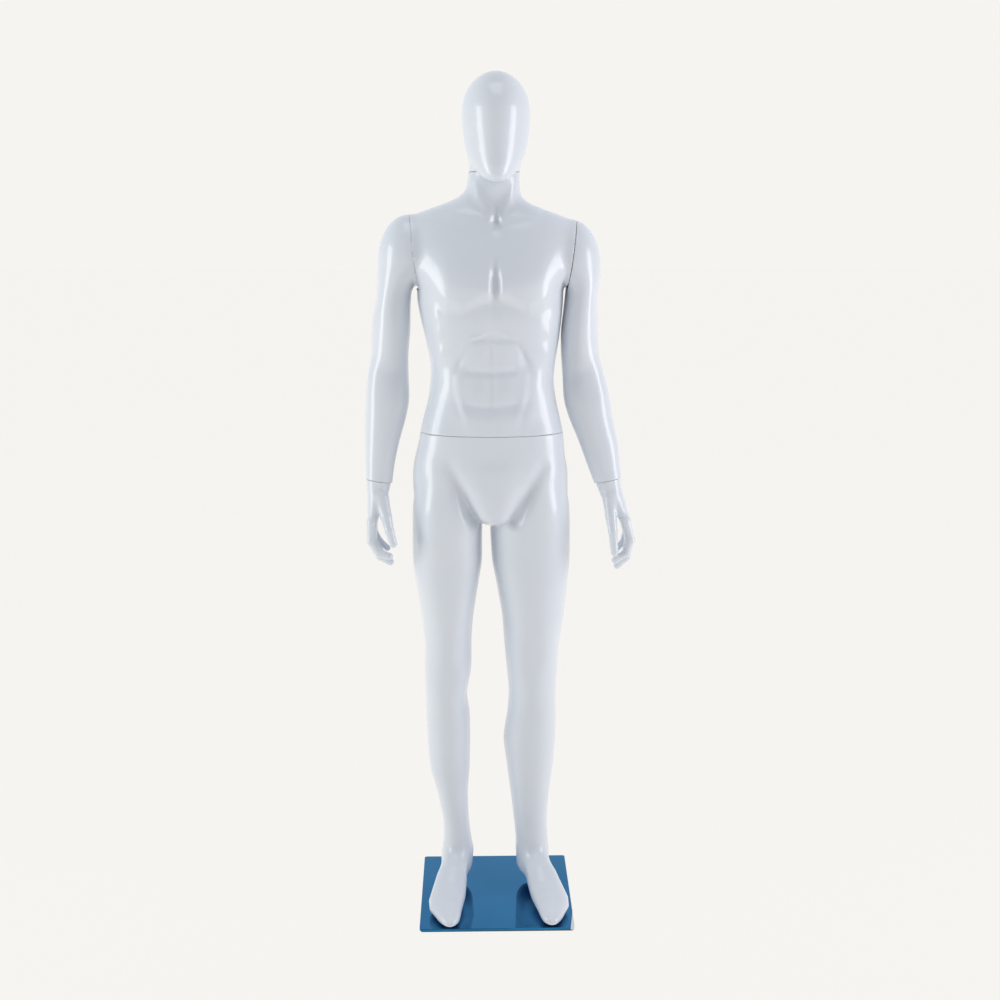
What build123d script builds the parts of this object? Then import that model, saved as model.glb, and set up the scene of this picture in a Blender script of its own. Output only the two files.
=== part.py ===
from build123d import *
import os
from collections import namedtuple
from math import copysign, cos, pi, radians, sin

# A full body display mannequin. Millimetres, +Z up, the figure faces -Y and its left side is at +X.
# The origin is the middle of the base's underside.

# ---- driving dimensions ----
BASE_SIZE = 350.0
BASE_CORNER = 6.0
UNDERLAY_THICKNESS = 3.0
PLATE_THICKNESS = 5.0
FILM_THICKNESS = 0.2
PEEL_LENGTH = 72.0
PEEL_WIDTH = 9.0
PLATE_CHAMFER = 0.5
FILM_MARGIN = 0.5

WALL = 3.5
GLUE_GAP = 0.4
SEAM_GAP = 0.8
OUTLINE_POINTS = 16

NECK_SEAM_Z = 1671.0
WAIST_SEAM_Z = 1110.0
SHOULDER_SEAMS = {"right": (-177.0, 6.0, 0.4), "left": (168.0, 8.0, 1.4)}   # x at the stud, tilt, arm's gap
STUD_Y, STUD_Z = 42.0, 1512.0
ARMPIT_DROP = 82.0          # from the stud down to the armpit
WRISTS = {
    "right": ((-256.5, 12.0, 1000.0), (-0.14, -0.09, -1.0)),      # centre, forearm direction
    "left": ((250.5, 12.0, 1000.0), (0.22, -0.09, -1.0)),
}
ANKLE_ROD_X, ANKLE_ROD_Y = -92.0, 58.0
ROD_RADIUS = 6.0
ROD_TOP_Z = 168.0
ROD_CHAMFER = 1.5
BOLT_RADIUS = 4.0
BOLT_HOLE_DEPTH = 24.0
BOLT_REACH = 20.0
BOLT_HEX_RADIUS = 2.5
BOLT_HEX_DEPTH = 2.2
TUBE_RADIUS = 8.5           # the rod's tube in the ankle
TUBE_FLOOR_Z = 38.0
TUBE_CAP = 4.0
GRUB_RADIUS = 3.0
GRUB_Z = 62.0
GRUB_HOLE_LENGTH = 60.0
GRUB_REACH = 28.0
GRUB_HEX_RADIUS = 1.5
GRUB_HEX_DEPTH = 3.0

SPAN = 700.0                # a block wider than any section of the body
FLANGE = 3.0                # steel flanges
BOARD = 9.0                 # wooden closing boards
RUNNING_CLEARANCE = 0.05
REST_GAP = 0.4              # between flanges that rest on each other
SCREW_RADIUS = 2.0
SCREW_LENGTH = 8.0
SCREW_COUNT = 4

WAIST_X, WAIST_Y = -8.0, 36.0
WAIST_BAR = 25.0            # square bar under the torso
WAIST_BAR_LENGTH = 60.0
WAIST_TUBE = 31.0
WAIST_TUBE_SPARE = 4.0       # the tube goes this far past the bar's end
WAIST_FLANGE = 80.0
WAIST_FLANGE_CORNER = 6.0
BAR_CHAMFER = 2.0
WAIST_SCREW_CIRCLE = 30.0

NECK_X, NECK_Y = -2.0, 43.0
NECK_SHAFT_RADIUS = 12.0
NECK_BUSH_RADIUS = 15.0
NECK_BUSH_LENGTH = 26.0
NECK_FLANGE_RADIUS = 26.0
NECK_COLLAR_RADIUS = 24.0
NECK_SCREW_CIRCLE = 20.5
NECK_SQUARE = 20.0          # square peg under the head
NECK_SQUARE_LENGTH = 40.0
NECK_SLEEVE = 26.0          # the square sleeve round that peg
NECK_CLEARANCE_RADIUS = 63.0
CLIP_THICKNESS = 1.5
CLIP_GROOVE_DEPTH = 2.0

STUD_RADIUS = 8.0
SOCKET_RADIUS = 34.0
SOCKET_SCREW_CIRCLE = 27.0
BAR_LENGTH = 30.0           # the cross bar on the arm's stud
BAR_WIDTH = 8.5
BAR_THICKNESS = 5.0
KEYHOLE_WIDTH = 9.5
KEYHOLE_LENGTH = 32.0
BAR_ROOM_RADIUS = 19.0
STUD_FLANGE_RADIUS = 30.0
STUD_SCREW_CIRCLE = 21.0

PEG_RADIUS = 5.0
PEG_LENGTH = 22.0           # to each side of the wrist seam
PEG_CHAMFER = 1.0
WRIST_BUSH_RADIUS = 8.0
WRIST_FLANGE_RADIUS = 12.0
WRIST_FLANGE = 2.0
WRIST_PLUG_LENGTH = 26.0

PLATE_TOP_Z = UNDERLAY_THICKNESS + PLATE_THICKNESS
BALL_Z = PLATE_TOP_Z + FILM_THICKNESS + 0.4      # the underside of the ball of each foot

# A station is one level outline of a body: its height, middle, half width, half depth and squareness.
Station = namedtuple("Station", "z x y half_width half_depth squareness")

TORSO = [
    Station(1100, -8, 36, 160, 95, 2.4),
    Station(1140, -8, 36, 152, 92, 2.4),
    Station(1180, -7, 38, 142, 91, 2.4),
    Station(1220, -7, 39, 136, 91, 2.4),
    Station(1260, -5, 40, 137, 95, 2.4),
    Station(1310, -6, 41, 146, 102, 2.4),
    Station(1360, -9, 40, 155, 109, 2.4),
    Station(1400, -11, 39, 161, 113, 2.4),
    Station(1430, -11, 39, 164, 114, 2.4),
    Station(1470, -8, 41, 188, 110, 2.3),
    Station(1510, -6, 44, 200, 100, 2.2),
    Station(1540, -8, 46, 200, 90, 2.2),
    Station(1565, -14, 47, 190, 80, 2.1),
    Station(1583, -20, 47, 158, 68, 2.1),
    Station(1600, -20, 46, 112, 62, 2.1),
    Station(1617, -12, 45, 74, 59, 2.1),
    Station(1635, -4, 44, 58, 57, 2.0),
    Station(1655, -3, 43, 56, 56, 2.0),
    Station(1680, -2, 43, 56, 56, 2.0),
]
NECK_STUB = [
    Station(1660, -2, 43, 56, 56, 2.0),
    Station(1690, 0, 43, 56, 57, 2.0),
    Station(1720, 1, 46, 54, 60, 2.0),
]
HEAD = [
    Station(1652, 2, -40, 14, 12, 2.0),
    Station(1662, 2, -30, 28, 26, 2.1),
    Station(1680, 2, -10, 44, 47, 2.1),
    Station(1705, 2, 18, 57, 76, 2.1),
    Station(1740, 2, 35, 69, 93, 2.1),
    Station(1780, 2, 39, 73, 96, 2.1),
    Station(1815, 2, 40, 73, 89, 2.1),
    Station(1843, 2, 41, 65, 75, 2.1),
    Station(1862, 1, 41, 53, 59, 2.0),
    Station(1874, 0, 41, 36, 40, 2.0),
    Station(1880, 0, 41, 12, 13, 2.0),
]
HIPS = [
    Station(1120, -8, 36, 158, 94, 2.4),
    Station(1085, -9, 37, 162, 96, 2.4),
    Station(1050, -12, 39, 168, 100, 2.4),
    Station(1015, -12, 42, 172, 105, 2.4),
    Station(980, -11, 45, 173, 109, 2.4),
    Station(950, -10, 47, 168, 110, 2.4),
    Station(925, -11, 48, 140, 100, 2.4),
    Station(900, -14, 48, 95, 76, 2.3),
]
LEGS = {
    "right": [
        Station(1040, -98, 44, 55, 74, 2.1),
        Station(990, -105, 46, 72, 91, 2.1),
        Station(940, -107, 46, 80, 96, 2.1),
        Station(880, -109, 43, 79, 91, 2.1),
        Station(810, -109, 41, 79, 84, 2.1),
        Station(750, -110, 40, 70, 79, 2.0),
        Station(680, -110, 42, 59, 74, 2.0),
        Station(610, -110, 43, 52, 67, 2.0),
        Station(550, -111, 41, 53, 62, 2.0),
        Station(495, -115, 40, 47, 60, 2.0),
        Station(440, -111, 48, 51, 59, 2.0),
        Station(375, -110, 56, 50, 63, 2.0),
        Station(300, -108, 56, 47, 56, 2.0),
        Station(240, -102, 54, 36, 47, 2.0),
        Station(170, -94, 51, 30, 41, 2.0),
        Station(120, -90, 48, 33, 43, 2.0),
        Station(85, -91, 46, 34, 45, 2.0),
        Station(55, -92, 46, 32, 44, 2.0),
    ],
    "left": [
        Station(1040, 70, 44, 58, 74, 2.1),
        Station(990, 76, 46, 76, 91, 2.1),
        Station(940, 79, 46, 89, 96, 2.1),
        Station(880, 79, 43, 91, 91, 2.1),
        Station(810, 81, 41, 89, 84, 2.1),
        Station(750, 84, 40, 80, 79, 2.0),
        Station(680, 87, 42, 71, 74, 2.0),
        Station(610, 84, 43, 63, 67, 2.0),
        Station(550, 85, 41, 58, 62, 2.0),
        Station(495, 86, 40, 54, 60, 2.0),
        Station(440, 85, 48, 57, 59, 2.0),
        Station(375, 80, 56, 62, 63, 2.0),
        Station(300, 82, 56, 54, 56, 2.0),
        Station(240, 82, 54, 46, 47, 2.0),
        Station(170, 83, 51, 39, 41, 2.0),
        Station(120, 87, 48, 38, 43, 2.0),
        Station(85, 88, 46, 36, 45, 2.0),
        Station(55, 88, 46, 33, 44, 2.0),
    ],
}
LEG_CAVITY_FLOOR_Z = 180.0

ARMS = {
    "right": [
        Station(1577, -184, 42, 24, 32, 2.0),
        Station(1566, -187, 42, 45, 50, 2.0),
        Station(1540, -192, 42, 54, 64, 2.1),
        Station(1500, -197, 42, 57, 70, 2.1),
        Station(1460, -206, 43, 51, 68, 2.1),
        Station(1425, -221, 44, 38, 62, 2.0),
        Station(1380, -227, 45, 41, 56, 2.0),
        Station(1330, -230, 46, 43, 50, 2.0),
        Station(1280, -231, 46, 43, 46, 2.0),
        Station(1230, -236, 44, 48, 45, 2.0),
        Station(1180, -238, 39, 49, 46, 2.0),
        Station(1130, -246, 32, 44, 42, 2.0),
        Station(1080, -253, 24, 37, 36, 2.0),
        Station(1030, -258, 16, 32, 30, 2.0),
        Station(985, -258, 11, 30, 28, 2.0),
    ],
    "left": [
        Station(1565, 172, 42, 24, 30, 2.0),
        Station(1553, 173, 42, 42, 48, 2.0),
        Station(1532, 172, 42, 49, 62, 2.1),
        Station(1500, 176, 42, 51, 70, 2.1),
        Station(1460, 182, 43, 49, 68, 2.1),
        Station(1425, 193, 44, 37, 62, 2.0),
        Station(1380, 189, 45, 38, 56, 2.0),
        Station(1330, 186, 46, 41, 50, 2.0),
        Station(1280, 188, 46, 42, 46, 2.0),
        Station(1230, 197, 44, 48, 45, 2.0),
        Station(1180, 205, 39, 53, 46, 2.0),
        Station(1130, 217, 32, 49, 42, 2.0),
        Station(1080, 232, 24, 43, 36, 2.0),
        Station(1030, 243, 16, 36, 30, 2.0),
        Station(985, 255, 11, 30, 28, 2.0),
    ],
}

# A foot is a row of upright outlines from heel to toe: distance forward, half width, sole and top height.
FootStation = namedtuple("FootStation", "forward half_width sole_z top_z")
FOOT = [
    FootStation(3, 16, 42, 78),
    FootStation(14, 28, 35, 94),
    FootStation(50, 33, 32, 108),
    FootStation(95, 34, 28, 108),
    FootStation(135, 37, 20, 90),
    FootStation(170, 41, 11, 68),
    FootStation(200, 41, BALL_Z, 53),
    FootStation(230, 36, BALL_Z + 1, 42),
    FootStation(252, 26, BALL_Z + 3, 35),
    FootStation(264, 10, BALL_Z + 7, 27),
]
FOOT_SQUARENESS = 2.3
HEELS = {"right": ((-87.0, 98.0), -7.0), "left": ((77.0, 98.0), 13.0)}   # back of the heel, toe-out in degrees

# A finger is a chain of joints from knuckle to tip: x, y, z and radius.
FINGERS = {
    "right": {
        "index": [(-276, -24, 912, 11), (-277, -27, 872, 10), (-261, -28, 845, 9), (-237, -27, 836, 8)],
        "middle": [(-277, -4, 908, 11), (-277, -6, 862, 10), (-260, -7, 832, 9), (-237, -8, 819, 8)],
        "ring": [(-277, 16, 910, 10.5), (-276, 15, 866, 9.5), (-260, 14, 835, 8.5), (-240, 13, 814, 7.5)],
        "little": [(-275, 34, 916, 9), (-275, 33, 880, 8), (-262, 31, 857, 7.5), (-245, 29, 842, 7)],
        "thumb": [(-252, -10, 965, 15), (-243, -26, 926, 12.5), (-235, -36, 896, 10), (-227, -41, 868, 8.5)],
    },
    "left": {
        "index": [(294, -24, 915, 11), (305, -28, 872, 10), (296, -29, 842, 9), (271, -28, 826, 8)],
        "middle": [(297, -4, 908, 11), (306, -7, 864, 10), (300, -8, 828, 9), (278, -8, 808, 8)],
        "ring": [(297, 16, 908, 10.5), (306, 14, 866, 9.5), (300, 13, 830, 8.5), (280, 12, 806, 7.5)],
        "little": [(294, 34, 914, 9), (302, 33, 880, 8), (296, 31, 854, 7.5), (281, 29, 838, 7)],
        "thumb": [(254, -10, 960, 15), (256, -26, 926, 12.5), (260, -37, 892, 10), (264, -41, 846, 8.5)],
    },
}
PALMS = {
    "right": [
        Station(1020, -256, 14, 30, 29, 2.1),
        Station(985, -261, 12, 26, 28, 2.2),
        Station(960, -264, 11, 23, 32, 2.3),
        Station(935, -270, 9, 17, 37, 2.4),
        Station(912, -276, 6, 11, 39, 2.4),
        Station(900, -277, 5, 8, 36, 2.4),
    ],
    "left": [
        Station(1020, 247, 14, 30, 29, 2.1),
        Station(985, 255, 12, 27, 28, 2.2),
        Station(960, 264, 11, 26, 32, 2.3),
        Station(935, 279, 9, 19, 37, 2.4),
        Station(912, 294, 6, 12, 39, 2.4),
        Station(900, 297, 5, 8, 36, 2.4),
    ],
}
HAND_BLEND = 0.97           # a finger's cone is this much thinner than the ball at its joint

os.makedirs("parts", exist_ok=True)


# ---- shapes that repeat ----
def section(plane, half_width, half_depth, squareness):
    """A closed outline round a plane's origin: an ellipse at squareness 2, squarer above that."""
    power = 2 / squareness
    points = []
    for step in range(OUTLINE_POINTS):
        turn = 2 * pi * step / OUTLINE_POINTS
        points.append((
            half_width * copysign(abs(cos(turn)) ** power, cos(turn)),
            half_depth * copysign(abs(sin(turn)) ** power, sin(turn)),
        ))
    with BuildSketch(plane) as outline:
        with BuildLine():
            Spline(*points, periodic=True)
        make_face()
    return outline.sketch


def rounded(stations):
    """The stations with one more between each two, on a smooth curve through its four neighbours."""
    padded = [stations[0], *stations, stations[-1]]
    result = []
    for before, here, after, beyond in zip(padded, padded[1:], padded[2:], padded[3:]):
        middle = [(9 * (b + c) - a - d) / 16 for a, b, c, d in zip(before, here, after, beyond)]
        height = (here[0] + after[0]) / 2
        result += [here, type(here)(height, *middle[1:])]
    return result + [stations[-1]]


def body_loft(stations, inset=0.0, mode=Mode.ADD):
    """Loft a body through its stations, or its cavity when there is an inset."""
    sections = []
    for station in rounded(stations):
        plane = Plane((station.x, station.y, station.z))
        sections.append(section(plane, station.half_width - inset, station.half_depth - inset,
                                station.squareness))
    loft(sections, ruled=True, mode=mode)


def block(plane, size, align_y=Align.CENTER, align_z=Align.CENTER, mode=Mode.ADD):
    """A box laid on a plane: size gives its width, height and depth along the plane's axes."""
    with Locations(plane):
        Box(*size, align=(Align.CENTER, align_y, align_z), mode=mode)


def rod(plane, radius, start, end, mode=Mode.ADD):
    """A round bar or hole along a plane's normal, between two distances from the plane."""
    with Locations(plane.offset(start)):
        Cylinder(radius, end - start, align=(Align.CENTER, Align.CENTER, Align.MIN), mode=mode)


def square_bar(plane, width, start, end, mode=Mode.ADD):
    """A square bar or hole along a plane's normal, between two distances from the plane."""
    block(plane.offset(start), (width, width, end - start), align_z=Align.MIN, mode=mode)


def board(stations, plane, start, end, lowest=-SPAN):
    """A closing board: the slice of a body's cavity between two distances from a plane."""
    body_loft(stations, inset=WALL + GLUE_GAP)
    corner = Plane(plane.offset(start).location * Pos(0, lowest, 0))
    block(corner, (SPAN, 2 * SPAN, end - start), align_y=Align.MIN, align_z=Align.MIN, mode=Mode.INTERSECT)


def screws(plane, circle, mode=Mode.ADD):
    """Four countersunk screws, or their holes: heads flush with the plane, shanks behind it."""
    with Locations(plane):
        with PolarLocations(circle, SCREW_COUNT):
            with Locations((0, 0, -SCREW_RADIUS)):
                Cone(SCREW_RADIUS, 2 * SCREW_RADIUS, SCREW_RADIUS,
                     align=(Align.CENTER, Align.CENTER, Align.MIN), mode=mode)
                Cylinder(SCREW_RADIUS, SCREW_LENGTH,
                         align=(Align.CENTER, Align.CENTER, Align.MAX), mode=mode)


def save(builder, name):
    """Label a piece and write it to its own file."""
    builder.part.label = name
    export_step(builder.part, f"parts/{name}.step")


# ---- the planes that the body comes apart at ----
def shoulder_plane(side):
    """A shoulder's seam: local z points outward along the stud, local y up."""
    x, tilt, _ = SHOULDER_SEAMS[side]
    facing = -1 if side == "right" else 1
    outward = (facing * cos(radians(tilt)), 0, -sin(radians(tilt)))
    return Plane(origin=(x, STUD_Y, STUD_Z), x_dir=(0, facing, 0), z_dir=outward)


def wrist_plane(side):
    """A wrist's seam: local z points down the hand."""
    centre, direction = WRISTS[side]
    return Plane(origin=centre, x_dir=(0, 1, 0), z_dir=direction)


WAIST = Plane((WAIST_X, WAIST_Y, WAIST_SEAM_Z))
NECK = Plane((NECK_X, NECK_Y, NECK_SEAM_Z))
ANKLE = Plane((ANKLE_ROD_X, ANKLE_ROD_Y, 0))

# Heights of the fittings' flanges, measured from their own seam.
WAIST_SOCKET_TOP = -2.0
WAIST_BOARD_TOP = WAIST_SOCKET_TOP - FLANGE
WAIST_SPIGOT_FLOOR = WAIST_SOCKET_TOP + REST_GAP
NECK_BUSH_TOP = -4.0
NECK_BOARD_TOP = NECK_BUSH_TOP - FLANGE
NECK_SHAFT_FLOOR = NECK_BOARD_TOP - NECK_BUSH_LENGTH - 2 * CLIP_THICKNESS - REST_GAP
NECK_COLLAR_TOP = -0.2
HEAD_SOCKET_FLOOR = NECK_COLLAR_TOP + REST_GAP
SOCKET_OUTER_FACE = -1.0
SOCKET_INNER_FACE = SOCKET_OUTER_FACE - FLANGE
STUD_FLANGE_FACE = 0.4

# ---- base ----
with BuildPart() as base_underlay:
    with BuildSketch():
        RectangleRounded(BASE_SIZE - 4, BASE_SIZE - 4, BASE_CORNER)
        with Locations((ANKLE_ROD_X, ANKLE_ROD_Y)):
            Circle(3 * BOLT_RADIUS, mode=Mode.SUBTRACT)
    extrude(amount=UNDERLAY_THICKNESS)
save(base_underlay, "base_underlay")

with BuildPart() as base_plate:
    with BuildSketch(Plane.XY.offset(UNDERLAY_THICKNESS)):
        RectangleRounded(BASE_SIZE, BASE_SIZE, BASE_CORNER)
    extrude(amount=PLATE_THICKNESS)
    chamfer(base_plate.faces().sort_by(Axis.Z)[0].edges(), PLATE_CHAMFER)
    with Locations((ANKLE_ROD_X, ANKLE_ROD_Y, UNDERLAY_THICKNESS)):
        Cone(2 * BOLT_RADIUS, BOLT_RADIUS, BOLT_RADIUS,
             align=(Align.CENTER, Align.CENTER, Align.MIN), mode=Mode.SUBTRACT)
    rod(ANKLE, BOLT_RADIUS, UNDERLAY_THICKNESS, PLATE_TOP_Z, mode=Mode.SUBTRACT)
save(base_plate, "base_plate")

with BuildPart() as base_film:
    with BuildSketch(Plane.XY.offset(PLATE_TOP_Z)):
        RectangleRounded(BASE_SIZE - 2 * FILM_MARGIN, BASE_SIZE - 2 * FILM_MARGIN, BASE_CORNER)
        with BuildLine():
            half = BASE_SIZE / 2
            Polyline((half, PEEL_LENGTH - half), (half, -half - 1), (half - PEEL_WIDTH, -half - 1), close=True)
        make_face(mode=Mode.SUBTRACT)
        with Locations((ANKLE_ROD_X, ANKLE_ROD_Y)):
            Circle(ROD_RADIUS + 1, mode=Mode.SUBTRACT)
    extrude(amount=FILM_THICKNESS)
save(base_film, "base_film")

with BuildPart() as foot_rod:
    rod(ANKLE, ROD_RADIUS, PLATE_TOP_Z, ROD_TOP_Z)
    chamfer(foot_rod.faces().sort_by(Axis.Z)[-1].edges(), ROD_CHAMFER)
    rod(ANKLE, BOLT_RADIUS, PLATE_TOP_Z, PLATE_TOP_Z + BOLT_HOLE_DEPTH, mode=Mode.SUBTRACT)
save(foot_rod, "foot_rod")

with BuildPart() as rod_bolt:
    with Locations((ANKLE_ROD_X, ANKLE_ROD_Y, UNDERLAY_THICKNESS)):
        Cone(2 * BOLT_RADIUS, BOLT_RADIUS, BOLT_RADIUS, align=(Align.CENTER, Align.CENTER, Align.MIN))
    rod(ANKLE, BOLT_RADIUS, UNDERLAY_THICKNESS + BOLT_RADIUS, PLATE_TOP_Z + BOLT_REACH)
    with BuildSketch(Plane.XY.offset(UNDERLAY_THICKNESS)):
        with Locations((ANKLE_ROD_X, ANKLE_ROD_Y)):
            RegularPolygon(BOLT_HEX_RADIUS, 6)
    extrude(amount=BOLT_HEX_DEPTH, mode=Mode.SUBTRACT)
save(rod_bolt, "rod_bolt")


# ---- hips, legs and feet: one shell ----
def foot_loft(side):
    """Loft a foot forward from the back of its heel."""
    (heel_x, heel_y), toe_out = HEELS[side]
    forward = Vector(sin(radians(toe_out)), -cos(radians(toe_out)), 0)
    sideways = Vector(cos(radians(toe_out)), sin(radians(toe_out)), 0)
    sections = []
    for station in rounded(FOOT):
        middle = Vector(heel_x, heel_y, (station.sole_z + station.top_z) / 2) + forward * station.forward
        plane = Plane(origin=middle, x_dir=sideways, z_dir=forward)
        sections.append(section(plane, station.half_width, (station.top_z - station.sole_z) / 2,
                                FOOT_SQUARENESS))
    loft(sections, ruled=True)


with BuildPart() as hips_and_legs_shell:
    body_loft(HIPS)
    for side in ("right", "left"):
        body_loft(LEGS[side])
        foot_loft(side)
    body_loft(HIPS[:-1], inset=WALL, mode=Mode.SUBTRACT)
    for side in ("right", "left"):
        hollow_part = [station for station in LEGS[side] if station.z >= LEG_CAVITY_FLOOR_Z]
        body_loft(hollow_part, inset=WALL, mode=Mode.SUBTRACT)
    block(WAIST.offset(-SEAM_GAP / 2), (SPAN, SPAN, SPAN), align_z=Align.MIN, mode=Mode.SUBTRACT)
    rod(ANKLE, TUBE_RADIUS, 0, ROD_TOP_Z + TUBE_CAP + REST_GAP, mode=Mode.SUBTRACT)
    grub_plane = Plane(origin=(ANKLE_ROD_X, ANKLE_ROD_Y, GRUB_Z), z_dir=(0, 1, 0))
    rod(grub_plane, GRUB_RADIUS, 0, GRUB_HOLE_LENGTH, mode=Mode.SUBTRACT)
save(hips_and_legs_shell, "hips_and_legs_shell")

with BuildPart() as ankle_tube:
    rod(ANKLE, TUBE_RADIUS, TUBE_FLOOR_Z, ROD_TOP_Z + TUBE_CAP + REST_GAP)
    rod(ANKLE, ROD_RADIUS + RUNNING_CLEARANCE, 0, ROD_TOP_Z + REST_GAP, mode=Mode.SUBTRACT)
    rod(grub_plane, GRUB_RADIUS, 0, GRUB_HOLE_LENGTH, mode=Mode.SUBTRACT)
save(ankle_tube, "ankle_tube")

with BuildPart() as ankle_grub_screw:
    rod(grub_plane, GRUB_RADIUS, ROD_RADIUS + RUNNING_CLEARANCE, GRUB_REACH)
    with BuildSketch(grub_plane.offset(GRUB_REACH)):
        RegularPolygon(GRUB_HEX_RADIUS, 6)
    extrude(amount=-GRUB_HEX_DEPTH, mode=Mode.SUBTRACT)
save(ankle_grub_screw, "ankle_grub_screw")

with BuildPart() as waist_board:
    board(HIPS, WAIST, WAIST_BOARD_TOP - BOARD, WAIST_BOARD_TOP)
    square_bar(WAIST, WAIST_TUBE, -SPAN / 2, 0, mode=Mode.SUBTRACT)
    screws(WAIST.offset(WAIST_SOCKET_TOP), WAIST_SCREW_CIRCLE, mode=Mode.SUBTRACT)
save(waist_board, "waist_board")

with BuildPart() as waist_socket:
    square_bar(WAIST, WAIST_FLANGE, WAIST_BOARD_TOP, WAIST_SOCKET_TOP)
    fillet(waist_socket.edges().filter_by(Axis.Z), WAIST_FLANGE_CORNER)
    square_bar(WAIST, WAIST_TUBE, WAIST_BOARD_TOP - WAIST_BAR_LENGTH - WAIST_TUBE_SPARE, WAIST_BOARD_TOP)
    square_bar(WAIST, WAIST_BAR + 2 * RUNNING_CLEARANCE, -SPAN / 2, 0, mode=Mode.SUBTRACT)
    screws(WAIST.offset(WAIST_SOCKET_TOP), WAIST_SCREW_CIRCLE, mode=Mode.SUBTRACT)
save(waist_socket, "waist_socket")

with BuildPart() as waist_socket_screws:
    screws(WAIST.offset(WAIST_SOCKET_TOP), WAIST_SCREW_CIRCLE)
save(waist_socket_screws, "waist_socket_screws")

# ---- torso ----
with BuildPart() as torso_shell:
    body_loft(TORSO)
    body_loft(TORSO, inset=WALL, mode=Mode.SUBTRACT)
    block(WAIST.offset(SEAM_GAP / 2), (SPAN, SPAN, SPAN), align_z=Align.MAX, mode=Mode.SUBTRACT)
    block(NECK.offset(-SEAM_GAP / 2), (SPAN, SPAN, SPAN), align_z=Align.MIN, mode=Mode.SUBTRACT)
    for side in ("right", "left"):
        armpit = Plane(shoulder_plane(side).offset(-SEAM_GAP / 2).location * Pos(0, -ARMPIT_DROP, 0))
        block(armpit, (SPAN, SPAN, SPAN), align_y=Align.MIN, align_z=Align.MIN, mode=Mode.SUBTRACT)
save(torso_shell, "torso_shell")

underside = Plane(origin=(WAIST_X, WAIST_Y, WAIST_SEAM_Z + WAIST_SPIGOT_FLOOR), z_dir=(0, 0, -1))
with BuildPart() as torso_board:
    board(TORSO, WAIST, WAIST_SPIGOT_FLOOR + FLANGE, WAIST_SPIGOT_FLOOR + FLANGE + BOARD)
    screws(underside, WAIST_SCREW_CIRCLE, mode=Mode.SUBTRACT)
save(torso_board, "torso_board")

with BuildPart() as waist_spigot:
    square_bar(WAIST, WAIST_FLANGE, WAIST_SPIGOT_FLOOR, WAIST_SPIGOT_FLOOR + FLANGE)
    fillet(waist_spigot.edges().filter_by(Axis.Z), WAIST_FLANGE_CORNER)
    square_bar(WAIST, WAIST_BAR, WAIST_SPIGOT_FLOOR - WAIST_BAR_LENGTH, WAIST_SPIGOT_FLOOR)
    chamfer(waist_spigot.faces().sort_by(Axis.Z)[0].edges(), BAR_CHAMFER)
    screws(underside, WAIST_SCREW_CIRCLE, mode=Mode.SUBTRACT)
save(waist_spigot, "waist_spigot")

with BuildPart() as waist_spigot_screws:
    screws(underside, WAIST_SCREW_CIRCLE)
save(waist_spigot_screws, "waist_spigot_screws")

with BuildPart() as neck_board:
    board(TORSO, NECK, NECK_BOARD_TOP - BOARD, NECK_BOARD_TOP)
    rod(NECK, NECK_BUSH_RADIUS, -SPAN / 2, 0, mode=Mode.SUBTRACT)
    screws(NECK.offset(NECK_BUSH_TOP), NECK_SCREW_CIRCLE, mode=Mode.SUBTRACT)
save(neck_board, "neck_board")

with BuildPart() as neck_bush:
    rod(NECK, NECK_FLANGE_RADIUS, NECK_BOARD_TOP, NECK_BUSH_TOP)
    rod(NECK, NECK_BUSH_RADIUS, NECK_BOARD_TOP - NECK_BUSH_LENGTH, NECK_BOARD_TOP)
    rod(NECK, NECK_SHAFT_RADIUS + RUNNING_CLEARANCE, -SPAN / 2, 0, mode=Mode.SUBTRACT)
    screws(NECK.offset(NECK_BUSH_TOP), NECK_SCREW_CIRCLE, mode=Mode.SUBTRACT)
save(neck_bush, "neck_bush")

with BuildPart() as neck_bush_screws:
    screws(NECK.offset(NECK_BUSH_TOP), NECK_SCREW_CIRCLE)
save(neck_bush_screws, "neck_bush_screws")

# ---- neck swivel ----
groove_floor = NECK_SHAFT_FLOOR + CLIP_THICKNESS
with BuildPart() as neck_swivel:
    rod(NECK, NECK_SHAFT_RADIUS, NECK_SHAFT_FLOOR, NECK_BUSH_TOP + REST_GAP)
    rod(NECK, NECK_SHAFT_RADIUS, groove_floor, groove_floor + CLIP_THICKNESS, mode=Mode.SUBTRACT)
    rod(NECK, NECK_SHAFT_RADIUS - CLIP_GROOVE_DEPTH, groove_floor, groove_floor + CLIP_THICKNESS)
    rod(NECK, NECK_COLLAR_RADIUS, NECK_BUSH_TOP + REST_GAP, NECK_COLLAR_TOP)
    square_bar(NECK, NECK_SQUARE, NECK_COLLAR_TOP, NECK_COLLAR_TOP + NECK_SQUARE_LENGTH)
    chamfer(neck_swivel.faces().sort_by(Axis.Z)[-1].edges(), BAR_CHAMFER)
save(neck_swivel, "neck_swivel")

with BuildPart() as neck_clip:
    rod(NECK, NECK_BUSH_RADIUS, groove_floor, groove_floor + CLIP_THICKNESS)
    rod(NECK, NECK_SHAFT_RADIUS - CLIP_GROOVE_DEPTH, groove_floor, groove_floor + CLIP_THICKNESS,
        mode=Mode.SUBTRACT)
    gap_width = NECK_SHAFT_RADIUS
    block(NECK.offset(groove_floor), (gap_width, NECK_BUSH_RADIUS, CLIP_THICKNESS), align_y=Align.MIN,
          align_z=Align.MIN, mode=Mode.SUBTRACT)
save(neck_clip, "neck_clip")

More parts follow.
